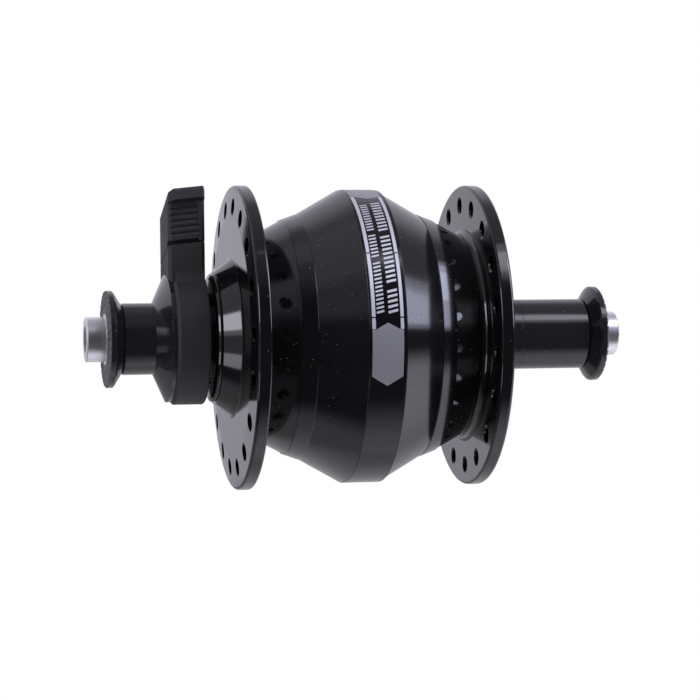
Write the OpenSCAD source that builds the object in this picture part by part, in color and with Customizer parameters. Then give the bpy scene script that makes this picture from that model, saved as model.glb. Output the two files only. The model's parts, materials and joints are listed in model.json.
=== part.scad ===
// Front hub with a built-in generator: a turned two-part shell spins on a fixed hollow axle,
// and a plug on the terminal arm carries the current away.
// X runs along the axle with the terminal side at -X, and +Z runs up the terminal arm.
// The origin is on the axle, midway between the two locknut faces.

/* [Axle] */
// Distance between the outer faces of the two locknuts
over_locknut = 100; // [96:1:110]
// How far each axle end stands out of its locknut
axle_stick = 3.8; // [3:0.1:5]
// Radius of the bright axle ends
axle_end_r = 4.4; // [4:0.1:4.8]
// Bevel on the axle ends
axle_bevel = 0.2; // [0.1:0.1:0.6]
// Radius of the bore for the skewer
skewer_bore_r = 2.6; // [2.5:0.05:3]
// Radius of the axle under the spacers and locknuts
axle_stud_r = 5; // [4.9:0.1:5.5]
// Radius of the axle under the stator
axle_mid_r = 8.5; // [8.2:0.1:9]
// Radius of the collar that stops the stator
axle_collar_r = 10.5; // [9.5:0.1:12]
// Width of that collar
axle_collar_w = 2; // [1.5:0.1:3]

/* [Locknuts and spacers] */
// Radius of the locknut rim
locknut_r = 9.5; // [8.5:0.1:11]
// Width of the locknut rim
locknut_rim_w = 1.65; // [1.2:0.05:2.5]
// Length of the locknut's cone
locknut_cone_w = 1.4; // [1:0.05:3]
// Number of teeth on the locknut's face
locknut_teeth = 36; // [24:4:48]
// Depth of those teeth
tooth_d = 0.35; // [0.25:0.05:0.5]
// Radius inside which the locknut's face stays smooth
tooth_in_r = 6.2; // [5.8:0.1:7]
// Outside radius of the neck and of the spacers
spacer_r = 7; // [6.5:0.1:7.4]
// Bevel on the ends of the sleeves and on the locknut's inner edge
sleeve_bevel = 0.35; // [0.1:0.05:0.4]
// Radius of the wide end of the left cone
cone_wide_r = 12.5; // [11:0.1:13]
// Length of the left cone
cone_w = 2.5; // [2:0.1:4]
// Length of the sleeve at the right, next to the locknut
right_spacer_w = 13.75; // [10:0.05:15]
// Length of the cone on the collar, next to the right dust ring
collar_cone_w = 1.3; // [0.8:0.1:2]
// Radius of the sleeves that the seals run on
seal_run_r = 9; // [8.6:0.1:9.2]

/* [Shell] */
// Radius of the two spoke flanges
flange_r = 30; // [28:0.5:34]
// Thickness of the spoke flanges
flange_t = 3.1; // [2.8:0.1:3.8]
// Distance between the outer faces of the flanges
flange_span = 50.3; // [49:0.1:52]
// Rounding of the flanges' inner edges
flange_edge = 0.45; // [0.2:0.05:0.8]
// Rounding of the flanges' outer edges
flange_round = 0.6; // [0.3:0.05:1]
// Width of the sloping zone round each flange's outer face
flange_zone_w = 6.1; // [6:0.1:7]
// How far that zone falls toward the rim
flange_fall = 0.45; // [0.2:0.05:0.7]
// Number of spoke holes in each flange
spoke_count = 18; // [14:1:18]
// Radius of the spoke hole circle
spoke_circle_r = 26; // [24:0.1:28]
// Radius of a spoke hole
spoke_hole_r = 1.4; // [1.2:0.05:1.5]
// Depth of the bevel round each spoke hole
spoke_bevel = 0.4; // [0.1:0.05:0.5]
// Angle of the first left spoke hole from the arm
spoke_phase = 11.8; // [0:0.1:20]
// Radius of the middle band
band_r = 29.1; // [28.6:0.1:29.6]
// Width of the middle band
band_w = 7.3; // [5.6:0.1:8]
// How far the band stands to the right of the middle
band_shift = 0.25; // [0:0.05:0.4]
// Height of the band's right edge above the cone
band_step = 0.25; // [0.05:0.05:0.4]
// Distance from the middle to the small end of each of the shell's cones
cone_end_x = 12.1; // [11.5:0.1:13]
// How far each cone falls from the band to its small end
cone_fall = 4.95; // [4.8:0.05:5.4]
// Height of the ring's bevelled edge above the cone
ring_step = 0.1; // [0.05:0.05:0.3]
// Width of the ring
ring_w = 3; // [2:0.1:3.4]
// How far the ring's outer end lies below the small end of the cone
ring_fall = 0.95; // [0.5:0.05:1.3]
// Height of the ring's outer end above the neck
neck_step = 0.15; // [0.1:0.05:0.4]
// Radius that the neck would have at the flange
neck_r = 19.4; // [18.8:0.1:20]
// Fillet between neck and flange
neck_fillet = 1.2; // [0.6:0.1:1.6]
// Radius of the flange boss at the flange
boss_root_r = 15.6; // [15.2:0.05:16]
// Radius of the flange boss at its end
boss_end_r = 13.05; // [12.6:0.05:13.5]
// Length of the flange boss
boss_w = 3.4; // [3:0.1:4]
// Fillet between boss and flange
boss_fillet = 0.8; // [0.4:0.1:1.2]
// Width of the dust ring outside the boss
dust_w = 1.1; // [0.9:0.1:1.2]
// Width of the groove between the boss and the dust ring's land
dust_groove_w = 0.45; // [0.3:0.05:0.5]
// Depth of that groove below the end of the boss
dust_groove_d = 0.65; // [0.4:0.05:0.8]
// Width of the land
dust_land_w = 0.35; // [0.2:0.05:0.4]
// Radius of the dust ring's outer end
dust_end_r = 11.6; // [11.2:0.1:12]
// Thickness of the printed band
label_t = 0.12; // [0.08:0.02:0.2]
// Margin of bare metal on each side of the printed band
label_margin = 0.1; // [0.1:0.05:0.4]
// Wall of the shell's cone
shell_wall = 2.2; // [1.8:0.1:2.6]
// Length of the spigot that joins the shell's two parts
spigot_w = 3; // [2.6:0.1:4]
// Wall of the shell over that spigot
spigot_cover = 1.9; // [1.6:0.1:2.2]
// Wall of the spigot over the flux ring
spigot_t = 1.95; // [1.8:0.05:2.2]
// Radius of the cord of the shell's O-ring
o_ring_r = 0.45; // [0.4:0.05:0.5]

/* [Bearings] */
// Bore radius of both bearings
bearing_bore_r = 7.5; // [7.4:0.1:7.7]
// Outside radius of both bearings
bearing_r = 14; // [13.8:0.1:14.4]
// Width of both bearings
bearing_w = 7; // [6.8:0.1:7.2]
// Distance from the middle to the outer face of each bearing
bearing_out_x = 24.6; // [24.4:0.1:24.8]
// Radius of the balls
ball_r = 1.95; // [1.8:0.05:2]
// Number of balls in each bearing
ball_count = 11; // [9:1:11]
// Wall of each race beside its groove
race_land = 2.05; // [1.9:0.05:2.2]
// Thickness of the ball cage
cage_t = 1; // [0.8:0.1:1.2]
// Width of the ball cage
cage_w = 5; // [4.8:0.1:5.2]
// Thickness of each shield
shield_t = 0.4; // [0.3:0.05:0.45]

/* [Generator] */
// Number of poles on each claw
claw_poles = 14; // [10:1:16]
// Width of the stator over both claws
stator_w = 14.8; // [14:0.1:15.2]
// Air gap between the claws and the magnets
air_gap = 0.45; // [0.35:0.05:0.6]
// Thickness of the claw plates
claw_plate_t = 1.4; // [1.2:0.1:1.6]
// Thickness of the claw fingers
claw_finger_t = 1.5; // [1.2:0.1:1.6]
// Angle that each claw finger covers
claw_finger_deg = 9; // [7:0.5:9.5]
// Thickness of the magnets
magnet_t = 2.1; // [1.8:0.1:2.2]
// Angle between two magnets
magnet_gap_deg = 1.2; // [0.8:0.1:2]
// Width of the magnets
magnet_w = 12.8; // [12:0.1:13]
// Thickness of the flux ring
flux_ring_t = 2.2; // [1.8:0.1:2.3]
// Width of the flux ring
flux_ring_w = 13.6; // [13:0.1:14]
// Share of the room between axle and claws that the stator's core sleeve takes
core_share = 0.24; // [0.2:0.01:0.3]
// Wall of the bobbin
bobbin_t = 0.9; // [0.8:0.1:1.1]
// Thickness of the stator's washer
washer_t = 0.9; // [0.7:0.1:1.2]
// Thickness of the stator's nut
nut_t = 3; // [2.4:0.1:3.4]
// Radius of the stator's nut over its corners
nut_r = 12; // [11:0.1:12.3]
// Radius of each lead with its insulation
lead_r = 0.55; // [0.45:0.05:0.6]
// Distance of each lead from the middle
lead_y = 0.9; // [0.85:0.05:1]
// Where the leads leave the bobbin, from the nut's rim at 0 to the bobbin's rim at 1
lead_exit = 0.23; // [0.22:0.01:0.35]
// Height of the leads in the axle's groove
lead_groove_z = 6.45; // [6.3:0.05:6.5]
// Where the leads go down into the groove
lead_drop_x = 13.2; // [12.9:0.1:15]
// Width of the axle's groove
groove_w = 3.4; // [3.2:0.1:3.8]
// Height of the bottom of the groove
groove_z = 5.7; // [5.4:0.1:5.8]

/* [Terminal and plug] */
// Distance from the middle to the inner face of the terminal
terminal_x = 30.9; // [30.8:0.1:32]
// Width of the terminal and of the plug
terminal_w = 7.2; // [6.8:0.1:8]
// Radius of the terminal's ring
terminal_r = 13; // [12.6:0.1:14]
// Bevel on the outer edge of the terminal's ring
terminal_bevel = 0.6; // [0.3:0.1:1]
// Bevel on the inner edge of the terminal's ring
terminal_in_bevel = 0.2; // [0.1:0.05:0.6]
// How far the ring's outer face lies behind the arm's outer side
ring_set_back = 0.75; // [0.3:0.05:1]
// Depth of the arm from front to back
arm_d = 12.4; // [11.6:0.1:13.5]
// Bevel on the upright edges of arm and plug
arm_bevel = 0.65; // [0.3:0.05:1]
// Fillet between arm and ring
arm_fillet = 3.5; // [2:0.1:5]
// Height of the arm's front edge
arm_top_z = 18.45; // [17.8:0.05:19]
// Slope of the joint across the arm
joint_tilt = 5.8; // [0:0.1:8]
// Slope of the joint from front to back
joint_fall = 17.5; // [10:0.5:20]
// Gap between arm and plug
plug_gap = 0.3; // [0.3:0.05:0.6]
// Height of the front nail slot under the plug
nail_h = 0.5; // [0.4:0.05:0.9]
// Depth of that slot
nail_d = 1.6; // [1:0.1:2]
// Solid left beside that slot
nail_end = 1.2; // [0.8:0.1:2]
// Height of the plug's top front edge
plug_top_z = 29.15; // [28:0.05:31]
// Slope of the plug's top
plug_top_fall = 19.3; // [10:0.1:24]
// How far the lip stands out of the plug's front
lip_d = 2.6; // [1.5:0.1:3]
// Height of the lip where it leaves the plug's front
lip_h = 2.6; // [2:0.05:3]
// How far the lip's underside rises towards its front
lip_rise = 0.45; // [0.1:0.05:0.8]
// Bevel on the lip's top edge
lip_bevel = 0.55; // [0.2:0.05:0.8]
// Width of the lip's left corner
lip_left_w = 1.1; // [0.5:0.1:1.6]
// Depth of the lip's left corner
lip_left_d = 2.1; // [1:0.1:2.6]
// Width of the lip's right corner
lip_right_w = 0.7; // [0.4:0.1:1.6]
// Depth of the lip's right corner
lip_right_d = 2.6; // [1:0.1:2.8]
// Number of grooves between the finger ribs
rib_grooves = 5; // [3:1:5]
// Distance between two grooves
rib_pitch = 1.2; // [1:0.02:1.3]
// Height of the lowest groove above the front of the joint
rib_low = 2.1; // [2:0.05:3]
// Depth of the grooves
rib_d = 0.38; // [0.2:0.02:0.5]
// Front left at each end of the grooves
rib_end = 0.15; // [0:0.05:0.5]
// Wall of the socket along the axle
socket_wall = 1.6; // [1.4:0.1:1.8]
// Wall of the socket at the front and back
socket_wall_y = 1.7; // [1.5:0.1:2]
// Height of the socket's floor
socket_z = 12; // [11.4:0.1:12.4]
// Height of the lower end of the plug's tongue
tongue_z = 13.2; // [13.1:0.1:13.6]
// Thickness of each contact blade
blade_t = 0.6; // [0.4:0.05:0.7]
// Width of each contact blade
blade_w = 2.4; // [1.8:0.1:2.6]
// Distance of each contact blade from the middle
blade_y = 0.5; // [0.45:0.05:0.6]
// Depth of the blades' feet below the socket's floor
blade_foot = 2; // [1.2:0.1:2.2]
// Height of the blades above the socket's floor
blade_h = 4.4; // [3:0.1:4.6]
// Thickness of each spring in the plug
spring_t = 0.28; // [0.2:0.02:0.3]
// Radius of each lead entry at the back of the plug
entry_r = 0.9; // [0.7:0.05:1]
// Depth of each lead entry
entry_d = 3.4; // [2:0.1:4]
// Distance between the two lead entries
entry_pitch = 3.2; // [2.6:0.1:3.6]
// Height of the lead entries above the back of the joint
entry_up = 4.4; // [3.5:0.1:5]

/* [Hidden] */
// Every separate piece of the hub
// Roundness of turned surfaces
$fn = 96;
// Clearance between pieces that are fixed together
fit = 0.05;
// Clearance between pieces that turn past each other
run = 0.1;
// Clearance between the plug and what it slides in
slip = 0.3;
// A length longer than any piece, for cutting
far = 80;

lock_x = over_locknut / 2;
axle_x = lock_x + axle_stick;
locknut_in_x = lock_x - locknut_rim_w - locknut_cone_w;
rim_bevel = tooth_d - run;
terminal_out_x = terminal_x + terminal_w;
terminal_mid_x = terminal_x + terminal_w / 2;
ring_face_x = terminal_out_x - ring_set_back;
right_spacer_in_x = locknut_in_x - right_spacer_w;
face_out_x = flange_span / 2;
face_in_x = face_out_x - flange_t;
zone_angle = atan(flange_fall / flange_zone_w);
spoke_t = flange_t - (spoke_circle_r - flange_r + flange_zone_w) * tan(zone_angle);
boss_x = face_out_x + boss_w;
dust_x = boss_x + fit + dust_w;
dust_land_x = boss_x + dust_groove_w;
band_left_x = band_w / 2 - band_shift;
band_right_x = band_w / 2 + band_shift;
cone_end_r = band_r - cone_fall;
ring_end_r = cone_end_r - ring_fall;
ring_end_x = cone_end_x + ring_w;
neck_slope = (neck_r - (ring_end_r - neck_step)) / (face_in_x - ring_end_x);
boss_slope = (boss_end_r - boss_root_r) / boss_w;
bearing_in_x = bearing_out_x - bearing_w;
bearing_mid_x = bearing_out_x - bearing_w / 2;
pitch_r = (bearing_bore_r + bearing_r) / 2;
inner_land_r = bearing_bore_r + race_land;
outer_land_r = bearing_r - race_land;
seal_bore_r = (seal_run_r + boss_end_r) / 2;
axle_step_x = terminal_x + terminal_w / 2;
label_left_x = band_left_x - label_margin - fit;
label_right_x = band_right_x - label_margin - fit;
spigot_in_x = spigot_w - band_left_x;
spigot_r = band_r - spigot_cover;
yoke_bore_r = spigot_r - spigot_t;
flux_ring_r = yoke_bore_r - fit;
magnet_in_r = flux_ring_r - flux_ring_t - fit - magnet_t;
stator_r = magnet_in_r - air_gap;
yoke_x = flux_ring_w / 2 + fit;
stator_x = stator_w / 2;
plate_in_x = stator_x - claw_plate_t;
bobbin_r = stator_r - claw_finger_t - slip;
bobbin_x = plate_in_x - fit;
core_r = axle_mid_r + fit + core_share * (bobbin_r - axle_mid_r);
bobbin_in_r = core_r + fit;
lead_exit_z = nut_r + lead_exit * (bobbin_r - nut_r);
coil_in_r = bobbin_in_r + bobbin_t + fit;
coil_x = bobbin_x - bobbin_t - fit;
pole_deg = 180 / claw_poles;
washer_x = stator_x + fit;
nut_x = washer_x + washer_t + fit;
blade_x = terminal_mid_x - blade_t / 2;
lead_rise_x = blade_x - lead_r - fit;
arm_y = arm_d / 2;
joint_z = arm_top_z + plug_gap;
arm_corner = [arm_bevel, arm_bevel];
tongue_wall = socket_wall + slip;

// Turns a list of [x, radius] points about the axle
module turned(points) {
    rotate([0, 90, 0]) rotate_extrude() polygon([for (p = points) [p[1], p[0]]]);
}

// Turns a list of [x, radius] points through part of a circle, centred on an angle from the arm
module turned_part(points, middle, sweep) {
    rotate([-middle - sweep / 2, 0, 0])
        rotate([0, 90, 0])
            rotate([0, 0, 180])
                rotate_extrude(angle = sweep) polygon([for (p = points) [p[1], p[0]]]);
}

// A plain ring round the axle
module ring(x0, x1, r_in, r_out) {
    turned([[x0, r_in], [x0, r_out], [x1, r_out], [x1, r_in]]);
}

// Puts its children on the left side, mirrored
module on_left() {
    mirror([1, 0, 0]) children();
}

// Points along an arc in the [x, radius] plane
function arc(cx, cr, r, from, to) =
    [for (i = [0:8]) [cx + r * cos(from + (to - from) * i / 8), cr + r * sin(from + (to - from) * i / 8)]];

// Radius of the shell's neck at a place along the axle
function neck_at(x) = neck_r + neck_slope * (x - face_in_x);

// Radius of the flange boss at a place along the axle
function boss_at(x) = boss_root_r + boss_slope * (x - face_out_x);

// Outside of one half of the shell, from a radius at the edge of the band to the end of the boss
function shell_outside(band_x, r) = concat(
    [[band_x, r], [cone_end_x, cone_end_r], [cone_end_x + ring_step, cone_end_r + ring_step]],
    [[ring_end_x, ring_end_r], [ring_end_x, ring_end_r - neck_step]],
    arc(face_in_x - neck_fillet, neck_at(face_in_x - neck_fillet) + neck_fillet / cos(atan(neck_slope)),
        neck_fillet, 270 + atan(neck_slope), 360),
    arc(face_in_x + flange_edge, flange_r - flange_edge, flange_edge, 180, 90),
    arc(face_out_x - flange_fall - flange_round, flange_r - flange_round, flange_round, 90, zone_angle),
    [[face_out_x, flange_r - flange_zone_w]],
    arc(face_out_x + boss_fillet, boss_at(face_out_x + boss_fillet) + boss_fillet / cos(atan(boss_slope)),
        boss_fillet, 180, 270 + atan(boss_slope)),
    [[boss_x, boss_end_r]]);

// Inside of one half of the shell, from the end of the boss to the seat of the flux ring
function shell_inside() = [
    [boss_x, seal_bore_r], [bearing_out_x + fit, seal_bore_r],
    [bearing_out_x + fit, bearing_r + fit], [bearing_in_x - slip, bearing_r + fit],
    [bearing_in_x - slip, neck_at(bearing_in_x) - shell_wall * 1.5],
    [cone_end_x, cone_end_r - shell_wall], [yoke_x, yoke_bore_r - shell_wall / 2],
    [yoke_x, yoke_bore_r]];

// Spoke holes through one flange, with a bevel on both faces
module spoke_holes(phase) {
    for (i = [0:spoke_count - 1]) rotate([-phase - i * 360 / spoke_count, 0, 0])
        translate([face_in_x, 0, spoke_circle_r]) rotate([0, 90, 0]) spoke_hole();
}

// One spoke hole along Z, with the flange between 0 and its thickness at the spoke circle
module spoke_hole() {
    wide_r = spoke_hole_r + 2 * spoke_bevel;
    translate([0, 0, -1]) cylinder(r = spoke_hole_r, h = flange_t + 2, $fn = 24);
    translate([0, 0, -spoke_bevel])
        cylinder(r1 = wide_r, r2 = spoke_hole_r, h = 2 * spoke_bevel, $fn = 24);
    translate([0, 0, spoke_t - spoke_bevel])
        cylinder(r1 = spoke_hole_r, r2 = wide_r, h = 2 * spoke_bevel, $fn = 24);
}

// Shell pieces

module hub_shell() {
    color([0.06, 0.06, 0.065]) difference() {
        turned(concat(
            [[-band_left_x + fit, band_r], [-label_left_x - fit, band_r]],
            [[-label_left_x - fit, band_r - label_t - fit], [label_right_x + fit, band_r - label_t - fit]],
            [[label_right_x + fit, band_r], [band_right_x, band_r]],
            shell_outside(band_right_x, band_r - band_step), shell_inside(),
            [[spigot_in_x + fit, yoke_bore_r], [spigot_in_x + fit, spigot_r + fit]],
            [[-band_left_x + fit, spigot_r + fit]]));
        spoke_holes(spoke_phase + 180 / spoke_count);
    }
}

module left_cover() {
    groove_x = band_left_x - spigot_w / 2;
    groove_d = 2 * o_ring_r;
    color([0.06, 0.06, 0.065]) on_left() difference() {
        turned(concat(
            shell_outside(band_left_x, band_r), shell_inside(),
            [[-spigot_in_x, yoke_bore_r], [-spigot_in_x, spigot_r]],
            [[groove_x - o_ring_r - fit, spigot_r], [groove_x - o_ring_r - fit, spigot_r - groove_d]],
            [[groove_x + o_ring_r + fit, spigot_r - groove_d], [groove_x + o_ring_r + fit, spigot_r]],
            [[band_left_x, spigot_r]]));
        spoke_holes(spoke_phase);
    }
}

module label_band() {
    color([0.08, 0.08, 0.085])
        ring(-label_left_x, label_right_x, band_r - label_t, band_r);
}

module shell_o_ring() {
    color([0.04, 0.04, 0.04])
        translate([spigot_in_x - spigot_w / 2, 0, 0]) rotate([0, 90, 0])
            rotate_extrude() translate([spigot_r - o_ring_r, 0]) circle(r = o_ring_r, $fn = 24);
}

// Seals and dust ring on the right, turned to the left by mirroring
module lip_seal() {
    color([0.1, 0.06, 0.05])
        ring(bearing_out_x + boss_fillet, boss_x - boss_fillet, seal_run_r + run, seal_bore_r - fit);
}

module dust_ring() {
    color([0.07, 0.07, 0.075])
        turned([[boss_x - boss_fillet + fit, seal_run_r + slip],
                [boss_x - boss_fillet + fit, seal_bore_r - fit],
                [boss_x + fit, seal_bore_r - fit], [boss_x + fit, boss_end_r - dust_groove_d],
                [dust_land_x, boss_end_r - dust_groove_d], [dust_land_x, boss_at(dust_land_x)],
                [dust_land_x + dust_land_w, boss_at(dust_land_x + dust_land_w)],
                [dust_x, dust_end_r], [dust_x, seal_run_r + slip]]);
}

module left_lip_seal() {
    on_left() lip_seal();
}

module right_lip_seal() {
    lip_seal();
}

module left_dust_ring() {
    on_left() dust_ring();
}

module right_dust_ring() {
    dust_ring();
}

// Axle and what is clamped on it

module axle() {
    color([0.78, 0.78, 0.8]) difference() {
        turned([
            [-axle_x, skewer_bore_r], [-axle_x, axle_end_r - axle_bevel], [-axle_x + axle_bevel, axle_end_r],
            [-lock_x, axle_end_r], [-lock_x, axle_stud_r], [-axle_step_x, axle_stud_r],
            [-axle_step_x, bearing_bore_r], [-bearing_in_x + fit, bearing_bore_r],
            [-bearing_in_x + fit, axle_mid_r], [stator_x + fit, axle_mid_r], [stator_x + fit, axle_collar_r],
            [stator_x + fit + axle_collar_w, axle_collar_r], [stator_x + fit + axle_collar_w, axle_mid_r],
            [bearing_in_x - fit, axle_mid_r], [bearing_in_x - fit, bearing_bore_r],
            [bearing_out_x - fit, bearing_bore_r], [bearing_out_x - fit, axle_stud_r],
            [lock_x, axle_stud_r], [lock_x, axle_end_r], [axle_x - axle_bevel, axle_end_r],
            [axle_x, axle_end_r - axle_bevel], [axle_x, skewer_bore_r]]);
        translate([-axle_step_x - 1, -groove_w / 2, groove_z])
            cube([axle_step_x + 1 - lead_drop_x + 2 * lead_r, groove_w, far]);
    }
}

// Locknut on the right, with radial teeth on its face
module locknut() {
    color([0.07, 0.07, 0.075]) difference() {
        turned([[locknut_in_x + fit, axle_stud_r + fit], [locknut_in_x + fit, spacer_r],
                [lock_x - locknut_rim_w, locknut_r - sleeve_bevel],
                [lock_x - locknut_rim_w + sleeve_bevel, locknut_r], [lock_x - rim_bevel, locknut_r],
                [lock_x, locknut_r - rim_bevel], [lock_x, axle_stud_r + fit]]);
        for (i = [0:locknut_teeth - 1]) rotate([i * 360 / locknut_teeth, 0, 0])
            translate([lock_x, 0, tooth_in_r]) rotate([0, 0, 45])
                translate([-tooth_d / sqrt(2), -tooth_d / sqrt(2), 0])
                    cube([tooth_d * sqrt(2), tooth_d * sqrt(2), locknut_r]);
    }
}

module left_locknut() {
    on_left() locknut();
}

module right_locknut() {
    locknut();
}

module left_cone_spacer() {
    color([0.06, 0.06, 0.065]) on_left()
        turned([[ring_face_x + fit, axle_stud_r + fit], [ring_face_x + fit, cone_wide_r],
                [terminal_out_x + fit, cone_wide_r], [terminal_out_x + fit + cone_w, spacer_r],
                [locknut_in_x - sleeve_bevel, spacer_r],
                [locknut_in_x, spacer_r - sleeve_bevel], [locknut_in_x, axle_stud_r + fit]]);
}

module left_clamp_ring() {
    color([0.06, 0.06, 0.065]) on_left()
        ring(bearing_out_x + fit, terminal_x - fit, bearing_bore_r + fit, seal_run_r);
}

module right_collar() {
    color([0.06, 0.06, 0.065])
        turned([[bearing_out_x + fit, axle_stud_r + fit], [bearing_out_x + fit, seal_run_r],
                [dust_x, seal_run_r], [dust_x + collar_cone_w, spacer_r],
                [right_spacer_in_x - fit, spacer_r], [right_spacer_in_x - fit, axle_stud_r + fit]]);
}

module right_spacer() {
    color([0.06, 0.06, 0.065])
        turned([[right_spacer_in_x, axle_stud_r + fit], [right_spacer_in_x, spacer_r],
                [locknut_in_x - sleeve_bevel, spacer_r], [locknut_in_x, spacer_r - sleeve_bevel],
                [locknut_in_x, axle_stud_r + fit]]);
}

// Bearings, each piece made about the middle of the bearing

module at_bearing(side) {
    translate([side * bearing_mid_x, 0, 0]) children();
}

// The groove that the balls run in
module ball_track() {
    rotate([0, 90, 0]) rotate_extrude() translate([pitch_r, 0]) circle(r = ball_r + fit, $fn = 48);
}

module inner_race(side) {
    color([0.75, 0.75, 0.77]) at_bearing(side) difference() {
        ring(-bearing_w / 2, bearing_w / 2, bearing_bore_r + fit, inner_land_r);
        ball_track();
    }
}

module outer_race(side) {
    color([0.75, 0.75, 0.77]) at_bearing(side) difference() {
        ring(-bearing_w / 2, bearing_w / 2, outer_land_r, bearing_r);
        ball_track();
    }
}

module balls(grow) {
    for (i = [0:ball_count - 1]) rotate([i * 360 / ball_count, 0, 0])
        translate([0, 0, pitch_r]) sphere(r = ball_r + grow, $fn = 48);
}

module cage(side) {
    color([0.55, 0.42, 0.25]) at_bearing(side) difference() {
        ring(-cage_w / 2, cage_w / 2, pitch_r - cage_t / 2, pitch_r + cage_t / 2);
        balls(fit);
    }
}

module shields(side) {
    x = bearing_w / 2 - shield_t;
    color([0.12, 0.12, 0.13]) at_bearing(side) for (end = [-1, 1])
        ring(end * x - shield_t / 2, end * x + shield_t / 2, inner_land_r + slip, outer_land_r - fit);
}

module left_inner_race() {
    inner_race(-1);
}

module right_inner_race() {
    inner_race(1);
}

module left_outer_race() {
    outer_race(-1);
}

module right_outer_race() {
    outer_race(1);
}

module left_balls() {
    color([0.8, 0.8, 0.82]) at_bearing(-1) balls(0);
}

module right_balls() {
    color([0.8, 0.8, 0.82]) at_bearing(1) balls(0);
}

module left_cage() {
    cage(-1);
}

module right_cage() {
    cage(1);
}

module left_shields() {
    shields(-1);
}

module right_shields() {
    shields(1);
}

// Generator

module flux_ring() {
    color([0.35, 0.35, 0.37])
        ring(-flux_ring_w / 2, flux_ring_w / 2, flux_ring_r - flux_ring_t, flux_ring_r);
}

module magnets() {
    color([0.25, 0.25, 0.27]) for (i = [0:2 * claw_poles - 1])
        turned_part([[-magnet_w / 2, magnet_in_r], [-magnet_w / 2, magnet_in_r + magnet_t],
                     [magnet_w / 2, magnet_in_r + magnet_t], [magnet_w / 2, magnet_in_r]],
                    i * pole_deg, pole_deg - magnet_gap_deg);
}

// A claw on the right: a plate with arms, and fingers that reach over the coil
module claw(phase) {
    finger_in_r = stator_r - claw_finger_t;
    ring(plate_in_x, stator_x, axle_mid_r + fit, bobbin_r - fit);
    for (i = [0:claw_poles - 1])
        turned_part([[plate_in_x, bobbin_r - 1], [stator_x, bobbin_r - 1], [stator_x, stator_r],
                     [slip - plate_in_x, stator_r], [slip - plate_in_x, finger_in_r],
                     [plate_in_x, finger_in_r]],
                    phase + i * 2 * pole_deg, claw_finger_deg);
}

module left_claw() {
    color([0.42, 0.42, 0.44]) difference() {
        on_left() claw(0);
        lead_holes(lead_r + 2 * run);
    }
}

module right_claw() {
    color([0.42, 0.42, 0.44]) claw(pole_deg);
}

module stator_core() {
    color([0.42, 0.42, 0.44]) ring(-plate_in_x + fit, plate_in_x - fit, axle_mid_r + fit, core_r);
}

// Holes for the two leads through the left claw and the bobbin
module lead_holes(r) {
    for (side = [-1, 1]) translate([-far, side * lead_y, lead_exit_z]) rotate([0, 90, 0])
        cylinder(r = r, h = far - coil_x, $fn = 24);
}

module coil_bobbin() {
    color([0.85, 0.82, 0.72]) difference() {
        turned([[-bobbin_x, bobbin_in_r], [-bobbin_x, bobbin_r], [-bobbin_x + bobbin_t, bobbin_r],
                [-bobbin_x + bobbin_t, bobbin_in_r + bobbin_t], [bobbin_x - bobbin_t, bobbin_in_r + bobbin_t],
                [bobbin_x - bobbin_t, bobbin_r], [bobbin_x, bobbin_r], [bobbin_x, bobbin_in_r]]);
        lead_holes(lead_r + run);
    }
}

module coil_winding() {
    color([0.7, 0.38, 0.2]) ring(-coil_x, coil_x, coil_in_r, bobbin_r - slip);
}

module stator_washer() {
    color([0.7, 0.7, 0.72]) on_left()
        ring(washer_x, washer_x + washer_t, axle_mid_r + fit, nut_r);
}

module stator_nut() {
    color([0.7, 0.7, 0.72]) on_left() translate([nut_x, 0, 0]) rotate([0, 90, 0]) difference() {
        cylinder(r = nut_r, h = nut_t, $fn = 6);
        translate([0, 0, -1]) cylinder(r = axle_mid_r + fit, h = nut_t + 2);
    }
}

// One straight stretch of a lead with a round end
module lead_run(a, b) {
    d = b - a;
    translate(a) sphere(r = lead_r, $fn = 24);
    translate(a) rotate([0, acos(d[2] / norm(d)), atan2(d[1], d[0])])
        cylinder(r = lead_r, h = norm(d), $fn = 24);
}

module lead_wires() {
    color([0.75, 0.12, 0.1]) for (side = [-1, 1]) {
        path = [[-coil_x - fit, side * lead_y, lead_exit_z], [-lead_drop_x, side * lead_y, lead_exit_z],
                [-lead_drop_x, side * lead_y, lead_groove_z], [-lead_rise_x, side * lead_y, lead_groove_z],
                [-lead_rise_x, side * lead_y, socket_z + lead_r]];
        for (i = [3, 2, 1]) lead_run(path[i], path[i + 1]);
        lead_run(path[1], path[0]);
    }
}

// Terminal and plug

// Outline of the arm seen from above, out to a front whose two corners are cut by [width, depth]
module arm_outline(front, left, right) {
    x = terminal_w / 2;
    c = arm_bevel;
    polygon([[-x, left[1] - front], [left[0] - x, -front], [x - right[0], -front], [x, right[1] - front],
             [x, arm_y - c], [x - c, arm_y], [c - x, arm_y], [-x, arm_y - c]]);
}

// Places its children in the middle of the arm
module at_arm() {
    translate([-terminal_mid_x, 0, 0]) children();
}

// Everything above the sloping joint, raised by a distance at the arm's front
module above_joint(z) {
    at_arm() translate([0, -arm_y, z]) rotate([-joint_fall, -joint_tilt, 0])
        translate([-far / 2, -far / 2, 0]) cube([far, far, far]);
}

// Fillet between the ring and one side of the arm
module arm_side_fillet() {
    cy = arm_y + arm_fillet;
    cz = sqrt(pow(terminal_r + arm_fillet, 2) - cy * cy);
    share = terminal_r / (terminal_r + arm_fillet);
    w = ring_face_x - terminal_x - terminal_bevel - terminal_in_bevel;
    translate([terminal_bevel - ring_face_x, 0, 0]) rotate([90, 0, 90]) linear_extrude(w) difference() {
        polygon([[0, 0], [cy * share, cz * share], [cy, cz], [arm_y, cz], [0, cz]]);
        translate([cy, cz]) circle(r = arm_fillet);
    }
}

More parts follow.
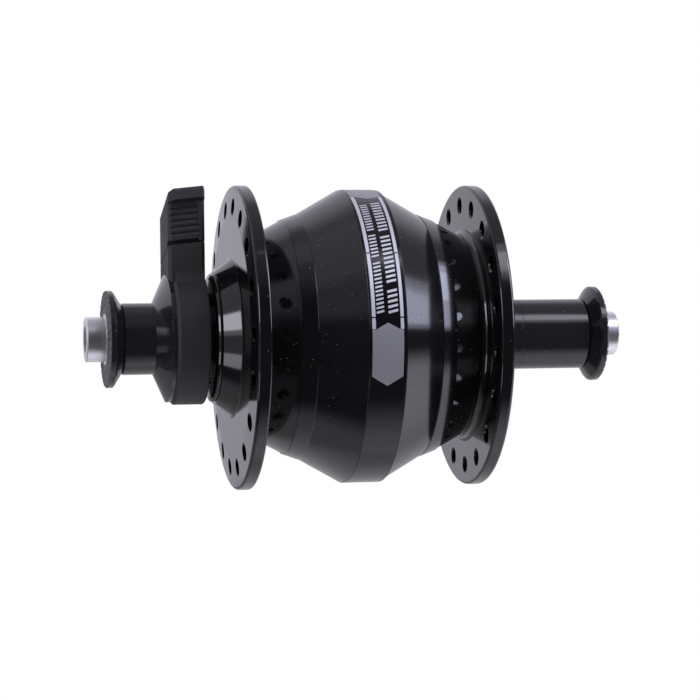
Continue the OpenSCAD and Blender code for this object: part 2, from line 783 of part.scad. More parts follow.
module terminal_body() {
    color([0.09, 0.09, 0.095]) difference() {
        union() {
            on_left() turned([
                [terminal_x, 0], [terminal_x, terminal_r - terminal_in_bevel],
                [terminal_x + terminal_in_bevel, terminal_r], [ring_face_x - terminal_bevel, terminal_r],
                [ring_face_x, terminal_r - terminal_bevel], [ring_face_x, 0]]);
            at_arm() linear_extrude(plug_top_z) arm_outline(arm_y, arm_corner, arm_corner);
            arm_side_fillet();
            mirror([0, 1, 0]) arm_side_fillet();
        }
        above_joint(arm_top_z);
        on_left() ring(terminal_x - 1, axle_step_x + fit, 0, bearing_bore_r + fit);
        on_left() ring(terminal_x, terminal_out_x + 1, 0, axle_stud_r + fit);
        on_left() ring(ring_face_x, terminal_out_x + 1, 0, cone_wide_r + fit);
        translate([-terminal_out_x + socket_wall, -arm_y + socket_wall_y, socket_z])
            cube([terminal_w - 2 * socket_wall, arm_d - 2 * socket_wall_y, far]);
        for (side = [-1, 1]) {
            translate([-lead_rise_x, side * lead_y, 0])
                cylinder(r = lead_r + fit, h = socket_z + 1, $fn = 24);
            translate([-blade_x - blade_t - fit, side * (blade_y + blade_w / 2) - blade_w / 2 - fit,
                       socket_z - blade_foot - fit])
                cube([blade_t + 2 * fit, blade_w + 2 * fit, far]);
        }
    }
}

module terminal_contacts() {
    color([0.8, 0.62, 0.25]) for (side = [-1, 1])
        translate([-blade_x - blade_t, side * (blade_y + blade_w / 2) - blade_w / 2, socket_z - blade_foot])
            cube([blade_t, blade_w, blade_foot + blade_h]);
}

// The plug seen from its side: Y to the right and Z up, for the middle of its width
module plug_side() {
    front = -arm_y;
    lip = front - lip_d;
    top_back = plug_top_z - (lip_d + arm_d) * tan(plug_top_fall);
    polygon([[front, 0], [front, plug_top_z - lip_h], [lip, plug_top_z - lip_h + lip_rise],
             [lip, plug_top_z - lip_bevel], [lip + lip_bevel, plug_top_z], [arm_y, top_back], [arm_y, 0]]);
}

// The plug's side view drawn out across its width, with the slope of the joint
module plug_block() {
    at_arm() translate([0, 0, joint_z]) rotate([0, -joint_tilt, 0]) translate([-far / 2, 0, -joint_z])
        rotate([90, 0, 90]) linear_extrude(far) plug_side();
}

// Everything above the lower edge of the lip
module above_lip() {
    at_arm() translate([0, 0, joint_z]) rotate([0, -joint_tilt, 0])
        translate([-far / 2, -far / 2, plug_top_z - lip_h - joint_z]) cube([far, far, far]);
}

// A groove along X between two rounded ribs, with the plug's front at Y 0
module rib_groove() {
    r = (rib_d * rib_d + rib_pitch * rib_pitch / 4) / (2 * rib_d);
    w = terminal_w - 2 * arm_bevel - 2 * rib_end;
    rotate([90, 0, 90]) linear_extrude(w, center = true) difference() {
        translate([-1, -rib_pitch / 2]) square([1 + rib_d, rib_pitch]);
        for (side = [-1, 1]) translate([r, side * rib_pitch / 2]) circle(r = r, $fn = 48);
    }
}

// Grooves between the finger ribs, and the nail slot at the front of the joint
module plug_front_cuts() {
    at_arm() translate([0, -arm_y, joint_z]) rotate([0, -joint_tilt, 0]) {
        for (i = [0:rib_grooves - 1]) translate([0, 0, rib_low - plug_gap + i * rib_pitch]) rib_groove();
        translate([-far, -nail_d, -far]) cube([far + terminal_w / 2 - nail_end, 2 * nail_d, far + nail_h]);
    }
}

// Springs of the plug and the slots that the blades enter
module spring_slots() {
    w = blade_t + 2 * slip + spring_t + fit;
    for (side = [-1, 1])
        translate([-blade_x - blade_t - slip, side * (blade_y + blade_w / 2) - blade_w / 2 - slip, 0])
            cube([w, blade_w + 2 * slip, socket_z + blade_h + 2 * slip]);
}

module plug_body() {
    color([0.09, 0.09, 0.095]) difference() {
        union() {
            intersection() {
                at_arm() linear_extrude(far) arm_outline(arm_y, arm_corner, arm_corner);
                plug_block();
                above_joint(joint_z);
            }
            intersection() {
                at_arm() linear_extrude(far)
                    arm_outline(arm_y + lip_d, [lip_left_w, lip_left_d], [lip_right_w, lip_right_d]);
                plug_block();
                above_lip();
            }
            translate([-terminal_out_x + tongue_wall, -arm_y + socket_wall_y + slip, tongue_z])
                cube([terminal_w - 2 * tongue_wall, arm_d - 2 * socket_wall_y - 2 * slip,
                      joint_z - tongue_z]);
        }
        plug_front_cuts();
        spring_slots();
        for (side = [-1, 1])
            translate([-terminal_mid_x + side * entry_pitch / 2, arm_y - entry_d,
                       joint_z - arm_d * tan(joint_fall) + entry_up])
                rotate([-90, 0, 0]) cylinder(r = entry_r, h = far, $fn = 24);
    }
}

module plug_contacts() {
    color([0.8, 0.62, 0.25]) for (side = [-1, 1])
        translate([-blade_x + slip, side * (blade_y + blade_w / 2) - blade_w / 2, tongue_z + slip])
            cube([spring_t, blade_w, socket_z + blade_h - tongue_z]);
}

axle();
left_locknut();
right_locknut();
left_cone_spacer();
left_clamp_ring();
right_collar();
right_spacer();
terminal_body();
terminal_contacts();
lead_wires();
stator_core();
left_claw();
right_claw();
coil_bobbin();
coil_winding();
stator_washer();
stator_nut();
left_inner_race();
right_inner_race();
hub_shell();
left_cover();
label_band();
shell_o_ring();
flux_ring();
magnets();
left_outer_race();
right_outer_race();
left_shields();
right_shields();
left_lip_seal();
right_lip_seal();
left_dust_ring();
right_dust_ring();
left_balls();
left_cage();
right_balls();
right_cage();
plug_body();
plug_contacts();
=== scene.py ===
"""Looks for the generator hub: finishes, printed band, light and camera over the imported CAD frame.

X runs along the axle with the terminal at -X, Z runs up the terminal arm, and the camera stands
at -Y. All lengths are in metres; MM turns millimetres into metres.
"""
import json
import math

import bmesh
import bpy
from mathutils import Matrix, Vector


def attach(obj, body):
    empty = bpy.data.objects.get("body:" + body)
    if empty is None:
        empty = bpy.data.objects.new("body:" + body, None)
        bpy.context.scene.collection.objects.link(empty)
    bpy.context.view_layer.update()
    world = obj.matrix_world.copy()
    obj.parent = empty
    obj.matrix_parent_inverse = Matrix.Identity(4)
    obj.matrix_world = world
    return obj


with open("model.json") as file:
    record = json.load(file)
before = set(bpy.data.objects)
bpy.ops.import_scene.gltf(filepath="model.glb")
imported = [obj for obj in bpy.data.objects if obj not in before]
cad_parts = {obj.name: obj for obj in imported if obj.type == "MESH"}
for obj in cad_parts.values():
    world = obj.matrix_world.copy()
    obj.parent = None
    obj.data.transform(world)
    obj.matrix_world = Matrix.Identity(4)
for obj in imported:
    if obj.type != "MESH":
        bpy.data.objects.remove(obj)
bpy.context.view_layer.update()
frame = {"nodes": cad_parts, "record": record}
nodes = frame["nodes"]
scene = bpy.context.scene
MM = 0.001
WHITE = (1.0, 1.0, 1.0)
BLACK = (0.0, 0.0, 0.0)


# Camera, fitted to the photograph's outline, flange edges and spoke holes

CAMERA_TURN = math.radians(12.221)
CAMERA_ROLL = -0.0128
CAMERA_DISTANCE = 483.846 * MM
CAMERA_SENSOR = 36
CAMERA_LENS = 124.78
CAMERA_SHIFT = (-0.00726, -0.01964)
CAMERA_CLIP = 10 * MM


def make_camera():
    back = Vector((-math.sin(CAMERA_TURN), -math.cos(CAMERA_TURN), 0))
    level = Vector((math.cos(CAMERA_TURN), -math.sin(CAMERA_TURN), 0))
    plumb = Vector((0, 0, 1))
    right = level * math.cos(CAMERA_ROLL) + plumb * math.sin(CAMERA_ROLL)
    up = plumb * math.cos(CAMERA_ROLL) - level * math.sin(CAMERA_ROLL)
    data = bpy.data.cameras.new("camera")
    data.sensor_width = CAMERA_SENSOR
    data.lens = CAMERA_LENS
    data.shift_x, data.shift_y = CAMERA_SHIFT
    data.clip_start = CAMERA_CLIP
    camera = bpy.data.objects.new("camera", data)
    turn = Matrix((right, up, back)).transposed().to_4x4()
    camera.matrix_world = Matrix.Translation(back * CAMERA_DISTANCE) @ turn
    scene.collection.objects.link(camera)
    scene.camera = camera


# Node helpers

RISING = (0.0, 1.0)
FALLING = (1.0, 0.0)


def add_node(tree, kind, inputs=None, **settings):
    """A shader node with its settings made, and each input linked to a socket or set to a value."""
    node = tree.nodes.new("ShaderNode" + kind)
    for key, value in settings.items():
        setattr(node, key, value)
    for key, value in (inputs or {}).items():
        if isinstance(value, bpy.types.NodeSocket):
            tree.links.new(value, node.inputs[key])
        else:
            node.inputs[key].default_value = value
    return node


def math_node(tree, operation, *values):
    return add_node(tree, "Math", dict(enumerate(values)), operation=operation).outputs[0]


def product(tree, first, *others):
    for value in others:
        first = math_node(tree, "MULTIPLY", first, value)
    return first


def distance(tree, one_way, other_way):
    """How far off a point lies that is so far off in each of two directions."""
    return math_node(tree, "SQRT", math_node(tree, "MULTIPLY_ADD", one_way, one_way,
                                             math_node(tree, "POWER", other_way, 2.0)))


def ranged(tree, value, low, high):
    """A 0 to 1 value spread over low to high."""
    return add_node(tree, "MapRange", {"Value": value, "To Min": low, "To Max": high}).outputs[0]


def ease(tree, value, span, levels=RISING):
    """Goes softly from the first level to the second while the value crosses the span."""
    inputs = {"Value": value, "From Min": span[0], "From Max": span[1],
              "To Min": levels[0], "To Max": levels[1]}
    return add_node(tree, "MapRange", inputs, interpolation_type="SMOOTHSTEP").outputs[0]


def blend(tree, factor, low, high):
    """A mix of two values, or of two colours where either end is one."""
    low, high = [(*end, 1) if isinstance(end, tuple) else end for end in (low, high)]
    kind = "RGBA" if isinstance(low, tuple) or isinstance(high, tuple) else "FLOAT"
    return add_node(tree, "Mix", {"Factor": factor, "A": low, "B": high}, data_type=kind).outputs["Result"]


def noise(tree, vector, scale, detail=2.0):
    inputs = {"Vector": vector, "Scale": scale, "Detail": detail}
    return add_node(tree, "TexNoise", inputs).outputs[0]


def object_place(tree):
    return add_node(tree, "TexCoord").outputs["Object"]


def split(tree, vector):
    return add_node(tree, "SeparateXYZ", {0: vector}).outputs


def new_material(name, base, roughness, metallic=0.0, ior=1.5):
    material = bpy.data.materials.new(name)
    material.use_nodes = True
    tree = material.node_tree
    shader = tree.nodes["Principled BSDF"]
    shader.inputs["Base Color"].default_value = (*base, 1)
    shader.inputs["Roughness"].default_value = roughness
    shader.inputs["Metallic"].default_value = metallic
    shader.inputs["IOR"].default_value = ior
    return material, tree, shader


# Materials

SPOKE_CIRCLE_R = 26 * MM
SPOKE_STEP = math.radians(20)
SPOKE_PHASE_LEFT = math.radians(11.8)
SPOKE_PHASE_RIGHT = math.radians(1.8)
SPOKE_HOLE_R = 1.5 * MM
SPOKE_EDGE_R = 1.85 * MM
FLANGE_MID_X = 23.6 * MM
FLANGE_X = 20 * MM
# Painted shade: the near-black colour given to the spoke holes and their outer bevels
HOLE_SHADE_COLOUR = (0.002, 0.002, 0.002)
LOCKNUT_WORN_X = 49.64 * MM
NEVER_WORN_X = 1.0
WORN_ROUGHNESS = 0.5
WORN_GRAIN = 0.3 * MM
WORN_SPREAD = (-0.4, 1.2)
WORN_COLOUR = (0.2, 0.2, 0.2)
SPECK_PITCH = 1.3 * MM
SPECK_COLOUR = (0.3, 0.3, 0.3)
RING_LEAN = 1.7
RING_DETAIL = 3.0
RING_SHARE = 0.35
SMEAR_SCALE = 45.0
SMEAR_DETAIL = 4.0
METAL_ROUGH_SPREAD = 0.4
CLOUD_SCALE = 90.0
CLOUD_DETAIL = 3.0
PLASTIC_ROUGH_SPREAD = 0.2
PLASTIC_TINT_SPREAD = 0.15
BEVEL_SAMPLES = 4


# Painted shade: marks where the spoke holes and their bevels are painted black
def spoke_shade_mask(tree, x, y, z, radius):
    """1 in the spoke holes of both flanges and on their outer bevels, 0 elsewhere.

    The inner half of the left holes is left out, so that it still catches light.
    """
    left = math_node(tree, "LESS_THAN", x, 0.0)
    phase = blend(tree, left, SPOKE_PHASE_RIGHT, SPOKE_PHASE_LEFT)
    turn = math_node(tree, "SUBTRACT", math_node(tree, "ARCTAN2", y, z), phase)
    off = math_node(tree, "WRAP", turn, SPOKE_STEP / 2, -SPOKE_STEP / 2)
    beside = product(tree, off, radius)
    above = math_node(tree, "SUBTRACT", radius, SPOKE_CIRCLE_R)
    away = distance(tree, above, beside)
    aside = math_node(tree, "ABSOLUTE", x)
    inner = blend(tree, left, SPOKE_HOLE_R, 0.0)
    reach = blend(tree, math_node(tree, "GREATER_THAN", aside, FLANGE_MID_X), inner, SPOKE_EDGE_R)
    near = math_node(tree, "LESS_THAN", away, reach)
    return product(tree, near, math_node(tree, "GREATER_THAN", aside, FLANGE_X))


def soft_bump(tree, shader, height, depth, edge):
    """A bump of a given depth, over edges that are softly broken to a given radius."""
    soft = add_node(tree, "Bevel", {"Radius": edge}, samples=BEVEL_SAMPLES).outputs[0]
    bump = add_node(tree, "Bump", {"Height": height, "Distance": depth, "Strength": 1.0, "Normal": soft})
    tree.links.new(bump.outputs[0], shader.inputs["Normal"])


def turned_metal(name, base, roughness, metallic=0.0, ior=1.5, mark_pitch=0.3 * MM, mark_depth=0.002 * MM,
                 edge=0.1 * MM, specks=0.0, worn_x=NEVER_WORN_X):
    """Metal turned on a lathe: fine rings about the axle, handling smears, dust and softly broken edges."""
    material, tree, shader = new_material(name, base, roughness, metallic, ior)
    place = object_place(tree)
    x, y, z = split(tree, place)
    radius = distance(tree, z, y)
    along = math_node(tree, "MULTIPLY_ADD", radius, RING_LEAN, x)
    rings = add_node(tree, "TexNoise", {"W": along, "Scale": 1 / mark_pitch, "Detail": RING_DETAIL},
                     noise_dimensions="1D").outputs[0]
    smear = noise(tree, place, SMEAR_SCALE, SMEAR_DETAIL)
    mixed = math_node(tree, "MULTIPLY_ADD", rings, RING_SHARE, product(tree, smear, 1 - RING_SHARE))
    # Painted shade: in the spoke holes and on their outer bevels the metal is made black and all but
    # unreflecting
    hole_shade = spoke_shade_mask(tree, x, y, z, radius)
    tree.links.new(blend(tree, hole_shade, metallic, 1.0), shader.inputs["Metallic"])
    rough = ranged(tree, mixed, roughness * (1 - METAL_ROUGH_SPREAD), roughness * (1 + METAL_ROUGH_SPREAD))
    worn = math_node(tree, "GREATER_THAN", math_node(tree, "ABSOLUTE", x), worn_x)
    tree.links.new(blend(tree, worn, rough, WORN_ROUGHNESS), shader.inputs["Roughness"])
    dust = add_node(tree, "TexVoronoi", {"Vector": place, "Scale": 1 / SPECK_PITCH}).outputs["Distance"]
    colour = blend(tree, math_node(tree, "LESS_THAN", dust, specks), base, SPECK_COLOUR)
    grain = ranged(tree, noise(tree, place, 1 / WORN_GRAIN), *WORN_SPREAD)
    colour = blend(tree, product(tree, worn, grain), colour, WORN_COLOUR)
    # Painted shade: the spoke holes and bevels get the near-black colour
    tree.links.new(blend(tree, hole_shade, colour, HOLE_SHADE_COLOUR), shader.inputs["Base Color"])
    soft_bump(tree, shader, rings, mark_depth, edge)
    return material


def moulded_plastic(name, base, roughness, grain=0.22 * MM, grain_depth=0.006 * MM, edge=0.12 * MM):
    """Moulded plastic: a fine spark-eroded grain and a slightly uneven sheen."""
    material, tree, shader = new_material(name, base, roughness)
    place = object_place(tree)
    cloud = noise(tree, place, CLOUD_SCALE, CLOUD_DETAIL)
    smoother, rougher = roughness * (1 - PLASTIC_ROUGH_SPREAD), roughness * (1 + PLASTIC_ROUGH_SPREAD)
    rough = ranged(tree, cloud, smoother, rougher)
    tree.links.new(rough, shader.inputs["Roughness"])
    darker = tuple(c * (1 - PLASTIC_TINT_SPREAD) for c in base)
    lighter = tuple(c * (1 + PLASTIC_TINT_SPREAD) for c in base)
    tree.links.new(blend(tree, cloud, darker, lighter), shader.inputs["Base Color"])
    soft_bump(tree, shader, noise(tree, place, 1 / grain), grain_depth, edge)
    return material


# Printed band: outlines in millimetres along the axle and degrees round it, from the front upward

BAND_R = 29.1 * MM
PRINT_RAISE = 0.02 * MM
PRINT_T = 0.03 * MM
PRINT_STEP = math.radians(2)
PLATE_LOW = ((-2.93, -15.2), (0.12, -18.9), (3.12, -15.2), (3.12, 2.3),
             (2.53, 2.3), (0.1, 4.9), (-2.28, 2.3), (-2.93, 2.3))
PLATE_HIGH = ((-2.93, 68.6), (-2.28, 68.6), (0.15, 66.3), (2.53, 68.6),
              (3.12, 68.6), (3.12, 90), (0.12, 93.6), (-2.93, 90))
LINE_LEFT = (-2.97, -2.28)
LINE_RIGHT = (2.53, 3.17)
LINE_TURNS = ((2.5, 6.6), (7.1, 32.4), (32.9, 68.4))
STROKE_START = 8.2
STROKE_ROWS = ({"sides": (0.25, 2.15), "width": 1.0, "pitch": 1.95, "slant": 0.9, "groups": (5, 11, 10)},
               {"sides": (-2.0, -0.55), "width": 0.8, "pitch": 1.6, "slant": 0.7, "groups": (13, 7, 11)})


def wrapped(outlines):
    """A mesh of flat outlines laid round the band, cut finely enough to follow it and given a thickness."""
    mesh = bmesh.new()
    for outline in outlines:
        mesh.faces.new([mesh.verts.new((x * MM, math.radians(turn), 0)) for x, turn in outline])
    low = min(v.co.y for v in mesh.verts)
    high = max(v.co.y for v in mesh.verts)
    for i in range(1, int((high - low) / PRINT_STEP) + 1):
        parts = mesh.verts[:] + mesh.edges[:] + mesh.faces[:]
        bmesh.ops.bisect_plane(mesh, geom=parts, plane_co=(0, low + i * PRINT_STEP, 0), plane_no=(0, 1, 0))
    inner = BAND_R + PRINT_RAISE
    outer = inner + PRINT_T
    lifted = bmesh.ops.extrude_face_region(mesh, geom=mesh.faces[:])
    raised = {v for v in lifted["geom"] if isinstance(v, bmesh.types.BMVert)}
    for vert in mesh.verts:
        x, turn, _ = vert.co
        r = outer if vert in raised else inner
        vert.co = (x, -r * math.cos(turn), r * math.sin(turn))
    bmesh.ops.recalc_face_normals(mesh, faces=mesh.faces[:])
    return mesh


def box(x0, x1, turn0, turn1, slant=0.0):
    """A block's outline; slant moves its far end round the band, as in sloping type."""
    return [(x0, turn0), (x1, turn0 + slant), (x1, turn1 + slant), (x0, turn1)]


def strokes():
    """Two rows of plain sloping strokes in groups, where the real band carries its lettering."""
    made = []
    for row in STROKE_ROWS:
        turn = STROKE_START
        for count in row["groups"]:
            for _ in range(count):
                made.append(box(*row["sides"], turn, turn + row["width"], row["slant"]))
                turn += row["pitch"]
            turn += row["pitch"]
    return made


def mesh_object(name, mesh, material):
    data = bpy.data.meshes.new(name)
    mesh.to_mesh(data)
    mesh.free()
    data.materials.append(material)
    made = bpy.data.objects.new(name, data)
    scene.collection.objects.link(made)
    return made


def add_piece(name, mesh, material, body):
    piece = mesh_object(name, mesh, material)
    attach(piece, body)


def make_print(plate_silver, line_silver):
    lines = [box(*sides, *turns) for sides in (LINE_LEFT, LINE_RIGHT) for turns in LINE_TURNS]
    add_piece("band_plates", wrapped([PLATE_LOW, PLATE_HIGH]), plate_silver, "shell")
    add_piece("band_lines", wrapped(lines), line_silver, "shell")
    add_piece("band_strokes", wrapped(strokes()), line_silver, "shell")


# Soft boxes, placed by azimuth and elevation

BOX_DISTANCE = 0.55
LILAC = (0.9, 0.885, 1.0)
BOX_BLUE = (0.75, 0.77, 1.0)


def toward(azimuth, elevation):
    """A direction: azimuth from the camera's side toward +X, and elevation above the horizon, in degrees."""
    a, e = math.radians(azimuth), math.radians(elevation)
    return Vector((math.sin(a) * math.cos(e), -math.cos(a) * math.cos(e), math.sin(e)))


def soft_box(name, azimuth, elevation, wide, high, level, tint):
    """A soft box that covers so many degrees, seen from the object, at a level where 1 is white."""
    width = 2 * BOX_DISTANCE * math.tan(math.radians(wide / 2))
    height = 2 * BOX_DISTANCE * math.tan(math.radians(high / 2))
    data = bpy.data.lights.new(name, "AREA")
    data.shape = "RECTANGLE"
    data.size, data.size_y = width, height
    data.energy = level * math.pi * width * height
    data.color = tint
    lamp = bpy.data.objects.new(name, data)
    way = toward(azimuth, elevation)
    lamp.location = way * BOX_DISTANCE
    lamp.rotation_mode = "QUATERNION"
    lamp.rotation_quaternion = way.to_track_quat("Z", "Y")
    lamp.visible_camera = False
    scene.collection.objects.link(lamp)


def make_lights():
    soft_box("right_box_wide", azimuth=61.5, elevation=28, wide=37, high=49, level=2.0, tint=BOX_BLUE)
    soft_box("right_box", azimuth=61, elevation=28, wide=31, high=44, level=3.2, tint=BOX_BLUE)
    soft_box("right_core", azimuth=65, elevation=34, wide=18, high=18, level=3.0, tint=BOX_BLUE)
    soft_box("left_box", azimuth=-66, elevation=17, wide=12, high=18, level=5.4, tint=LILAC)
    soft_box("left_box_wide", azimuth=-67, elevation=15, wide=16, high=25, level=1.0, tint=LILAC)
    soft_box("key_box", azimuth=33, elevation=51, wide=11, high=16, level=2.4, tint=LILAC)
    soft_box("key_box_wide", azimuth=32, elevation=50, wide=14, high=30, level=1.1, tint=LILAC)
    soft_box("left_card", azimuth=-68, elevation=-24.3, wide=17, high=14, level=2.5, tint=LILAC)


# Room that the part reflects: spans of azimuth (AZ), of azimuth to either side (ASIDE) and of elevation (EL)
# in degrees, and levels where 1 is white

SWEEP_ASIDE, SWEEP_EL, SWEEP_LEVELS = (112, 142), (45, 62), (0.8, 0.36)
LOW_SWEEP_EL, LOW_SWEEP_AZ = (5, 10), (-170.5, -167)
HORIZON_EL, HORIZON_FAR, HORIZON_NEAR = (-3, 3), (0.63, 0.8), (0.78, 0.9)
FLANK_ASIDE, FLANK_EL, FLANK_LEVELS = (34, 48), (8, 18), (0.06, 0.32)
FRONT_EL, FRONT_LEVELS = (25, 60), (0.03, 0.22)
LEFT_WALL_AZ, LEFT_WALL_EL, LEFT_WALL_LEVELS = (-62, -54), (18, 30), (0.38, 0.55)
TABLE_TOP_EL, TABLE_LEVEL = (-18, -5), 0.5
TABLE_RIGHT_AZ, TABLE_RIGHT_EL, TABLE_RIGHT_LEVELS = (10, 62), (-70, -15), (1.0, 1.9)
TABLE_SLANT, TABLE_SLANT_LEFT = 0.35, 0.3
TABLE_EDGE, TABLE_EDGE_LEVELS = (-0.8, -0.2), (0.08, 1.0)
LEAST_DEPTH = 0.02
BEHIND_ASIDE, BEHIND_LEVEL = (125, 155), 0.58
BEHIND_LEFT_EL, BEHIND_LEFT_LEVEL = (-50, -42), 0.33
GAP_LOW_EL, GAP_HIGH_EL, GAP_LEVEL = (-1.5, 0.5), (6, 10), 0.1
GAP_FAR_AZ, GAP_NEAR_AZ = (-165, -162), (-110, -90)
PATCH_FAR_AZ, PATCH_NEAR_AZ, PATCH_EL, PATCH_LEVEL = (-86, -78), (-64, -56), (18, 22), 0.38
DIFFUSE_LEVEL = 0.7


def upper_room(tree, azimuth, elevation, aside, left):
    """Above the table: dim in front, lighter at the flanks and the left wall, and a white sweep behind."""
    sweep = ease(tree, elevation, SWEEP_EL, SWEEP_LEVELS)
    low_sweep = blend(tree, ease(tree, azimuth, LOW_SWEEP_AZ), ease(tree, elevation, HORIZON_EL, HORIZON_FAR),
                      ease(tree, elevation, HORIZON_EL, HORIZON_NEAR))
    sweep = blend(tree, product(tree, ease(tree, elevation, LOW_SWEEP_EL, FALLING), left), sweep, low_sweep)
    front = ease(tree, elevation, FRONT_EL, FRONT_LEVELS)
    flank = ease(tree, elevation, FLANK_EL, FLANK_LEVELS)
    upper = blend(tree, ease(tree, aside, FLANK_ASIDE), front, flank)
    left_wall = ease(tree, elevation, LEFT_WALL_EL, LEFT_WALL_LEVELS)
    upper = blend(tree, ease(tree, azimuth, LEFT_WALL_AZ, FALLING), upper, left_wall)
    return blend(tree, ease(tree, aside, SWEEP_ASIDE), upper, sweep)


def table_below(tree, way, azimuth, elevation, aside, left):
    """The table: brighter at the right, with its front edge at a slant, and darker behind at the left."""
    x, y, z = way
    table_right = ease(tree, elevation, TABLE_RIGHT_EL, TABLE_RIGHT_LEVELS)
    table = blend(tree, ease(tree, azimuth, TABLE_RIGHT_AZ), TABLE_LEVEL, table_right)
    below = math_node(tree, "MAXIMUM", product(tree, z, -1.0), LEAST_DEPTH)
    slant = math_node(tree, "MULTIPLY_ADD", math_node(tree, "MINIMUM", x, 0.0), TABLE_SLANT_LEFT, y)
    edge = math_node(tree, "DIVIDE", math_node(tree, "MULTIPLY_ADD", x, TABLE_SLANT, slant), below)
    table = product(tree, table, ease(tree, edge, TABLE_EDGE, TABLE_EDGE_LEVELS))
    behind_left = ease(tree, elevation, BEHIND_LEFT_EL, (BEHIND_LEVEL, BEHIND_LEFT_LEVEL))
    behind = blend(tree, left, BEHIND_LEVEL, behind_left)
    return blend(tree, ease(tree, aside, BEHIND_ASIDE), table, behind)


def make_world():
    """White to the camera, an even light to rough surfaces, and to reflections the room.

    The room has a dark gap low at the left, between the sweep and the wall, and a pale patch beside it.
    """
    world = bpy.data.worlds.new("studio")
    scene.world = world
    world.use_nodes = True
    tree = world.node_tree
    way = split(tree, add_node(tree, "TexCoord").outputs["Generated"])
    x, y, z = way
    azimuth = math_node(tree, "DEGREES", math_node(tree, "ARCTAN2", x, product(tree, y, -1.0)))
    elevation = math_node(tree, "DEGREES", math_node(tree, "ARCSINE", z))
    aside = math_node(tree, "ABSOLUTE", azimuth)
    left = math_node(tree, "LESS_THAN", azimuth, 0.0)
    upper = upper_room(tree, azimuth, elevation, aside, left)
    table = table_below(tree, way, azimuth, elevation, aside, left)
    room = blend(tree, ease(tree, elevation, TABLE_TOP_EL), table, upper)
    gap = product(tree, ease(tree, elevation, GAP_LOW_EL), ease(tree, elevation, GAP_HIGH_EL, FALLING),
                  ease(tree, azimuth, GAP_FAR_AZ), ease(tree, azimuth, GAP_NEAR_AZ, FALLING))
    room = blend(tree, gap, room, GAP_LEVEL)
    patch = product(tree, ease(tree, azimuth, PATCH_NEAR_AZ, FALLING), ease(tree, azimuth, PATCH_FAR_AZ),
                    ease(tree, math_node(tree, "ABSOLUTE", elevation), PATCH_EL, FALLING))
    room = blend(tree, patch, room, PATCH_LEVEL)
    path = add_node(tree, "LightPath").outputs
    lit = blend(tree, path["Is Glossy Ray"], DIFFUSE_LEVEL, room)
    seen = math_node(tree, "MAXIMUM", path["Is Camera Ray"], path["Is Transmission Ray"])
    background = tree.nodes["Background"].inputs
    tree.links.new(blend(tree, seen, lit, 1.0), background["Strength"])
    tree.links.new(blend(tree, seen, LILAC, WHITE), background["Color"])


# Floor: fades in from its front, has painted shade at the left that only reflections see, and runs out to
# plain white for the camera

FLOOR_Z = -140 * MM
FLOOR_FRONT = -30 * MM
FLOOR_BACK = 1.2
FLOOR_SIDE = 1.6
FLOOR_FADE = (FLOOR_FRONT, 90 * MM)
FLOOR_SHADE_SPAN, FLOOR_SHADE_SHARES = (-62 * MM, -50 * MM), (0.5, 0.0)
FLOOR_RUNOUT = (160 * MM, 300 * MM)
FLOOR_DARKER = (0.64, 0.65, 0.58)
FLOOR_LIGHTER = (0.66, 0.67, 0.6)
FLOOR_ROUGHNESS = 0.6
FLOOR_CLOUD_SCALE = 30.0


def make_floor():
    """A pale floor that keeps the shadow under the object."""
    material, tree, shader = new_material("floor", FLOOR_LIGHTER, FLOOR_ROUGHNESS)
    place = object_place(tree)
    x, y, _ = split(tree, place)
    path = add_node(tree, "LightPath").outputs
    tint = blend(tree, noise(tree, place, FLOOR_CLOUD_SCALE), FLOOR_DARKER, FLOOR_LIGHTER)
    # Painted shade: to reflections only, the floor's colour is darkened by half at its left
    shade = product(tree, ease(tree, x, FLOOR_SHADE_SPAN, FLOOR_SHADE_SHARES), path["Is Glossy Ray"])
    tree.links.new(blend(tree, shade, tint, BLACK), shader.inputs["Base Color"])
    away = add_node(tree, "VectorMath", {0: place}, operation="LENGTH").outputs["Value"]
    share = product(tree, ease(tree, away, FLOOR_RUNOUT), path["Is Camera Ray"])
    glow = add_node(tree, "Emission", {"Color": (*WHITE, 1), "Strength": 1.0})
    mixed = add_node(tree, "MixShader", {0: share, 1: shader.outputs[0], 2: glow.outputs[0]})
    clear = add_node(tree, "BsdfTransparent")
    back = ease(tree, y, FLOOR_FADE)
    faded = add_node(tree, "MixShader", {0: back, 1: clear.outputs[0], 2: mixed.outputs[0]})
    tree.links.new(faded.outputs[0], tree.nodes["Material Output"].inputs["Surface"])
    corners = ((-FLOOR_SIDE, FLOOR_FRONT), (FLOOR_SIDE, FLOOR_FRONT),
               (FLOOR_SIDE, FLOOR_BACK), (-FLOOR_SIDE, FLOOR_BACK))
    mesh = bmesh.new()
    mesh.faces.new([mesh.verts.new((*corner, 0)) for corner in corners])
    floor = mesh_object("floor", mesh, material)
    floor.location.z = FLOOR_Z


# Making

make_camera()
make_world()
make_lights()
make_floor()

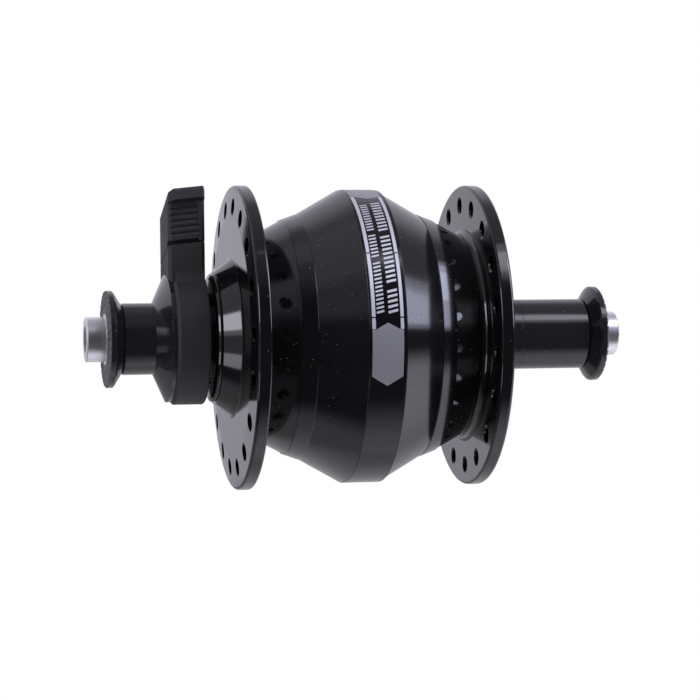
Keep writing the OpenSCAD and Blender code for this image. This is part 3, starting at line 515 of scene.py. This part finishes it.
anodised = turned_metal("black_anodised", (0.0045, 0.0040, 0.0046), 0.10, ior=1.6, specks=0.05)
satin = turned_metal("black_satin", (0.0125, 0.0115, 0.0125), 0.12, ior=1.6, specks=0.05,
                     worn_x=LOCKNUT_WORN_X)
steel = turned_metal("turned_steel", (0.94, 0.94, 0.95), 0.34, metallic=1.0)
ground = turned_metal("ground_steel", (0.66, 0.66, 0.68), 0.12, metallic=1.0, mark_pitch=0.1 * MM)
plastic = moulded_plastic("black_plastic", (0.024, 0.0225, 0.024), 0.58)
film = turned_metal("print_film", (0.0045, 0.0040, 0.0044), 0.12, mark_depth=0.0005 * MM)
plate_silver = turned_metal("plate_silver", (0.32, 0.32, 0.34), 0.5, metallic=0.6, mark_depth=0.001 * MM)
line_silver = turned_metal("line_silver", (0.62, 0.62, 0.66), 0.5, metallic=0.6, mark_depth=0.001 * MM)
rubber = moulded_plastic("seal_rubber", (0.02, 0.018, 0.018), 0.6)
iron = moulded_plastic("soft_iron", (0.2, 0.2, 0.21), 0.45)
magnet = moulded_plastic("magnet", (0.09, 0.09, 0.1), 0.55)
bobbin = moulded_plastic("bobbin_plastic", (0.6, 0.56, 0.44), 0.45)
copper = turned_metal("enamelled_copper", (0.5, 0.2, 0.09), 0.3, metallic=1.0, mark_pitch=0.5 * MM,
                      mark_depth=0.1 * MM)
insulation = moulded_plastic("lead_insulation", (0.45, 0.03, 0.025), 0.4)
brass = turned_metal("stamped_brass", (0.6, 0.42, 0.14), 0.3, metallic=1.0)

finish = {"black_metal": anodised, "bright_steel": steel, "bearing_steel": ground, "black_plastic": plastic,
          "label_print": film, "seal_rubber": rubber, "iron": iron, "magnet": magnet,
          "bobbin_plastic": bobbin, "copper": copper, "lead_plastic": insulation, "contact_brass": brass,
          "cage_brass": brass}
satin_nodes = ("left_locknut", "right_locknut", "left_cone_spacer", "right_spacer", "right_collar")
for part in frame["record"]["subparts"]:
    data = nodes[part["node"]].data
    data.materials.clear()
    data.materials.append(satin if part["node"] in satin_nodes else finish[part["material_slot"]])

make_print(plate_silver, line_silver)

scene.view_settings.view_transform = "Standard"
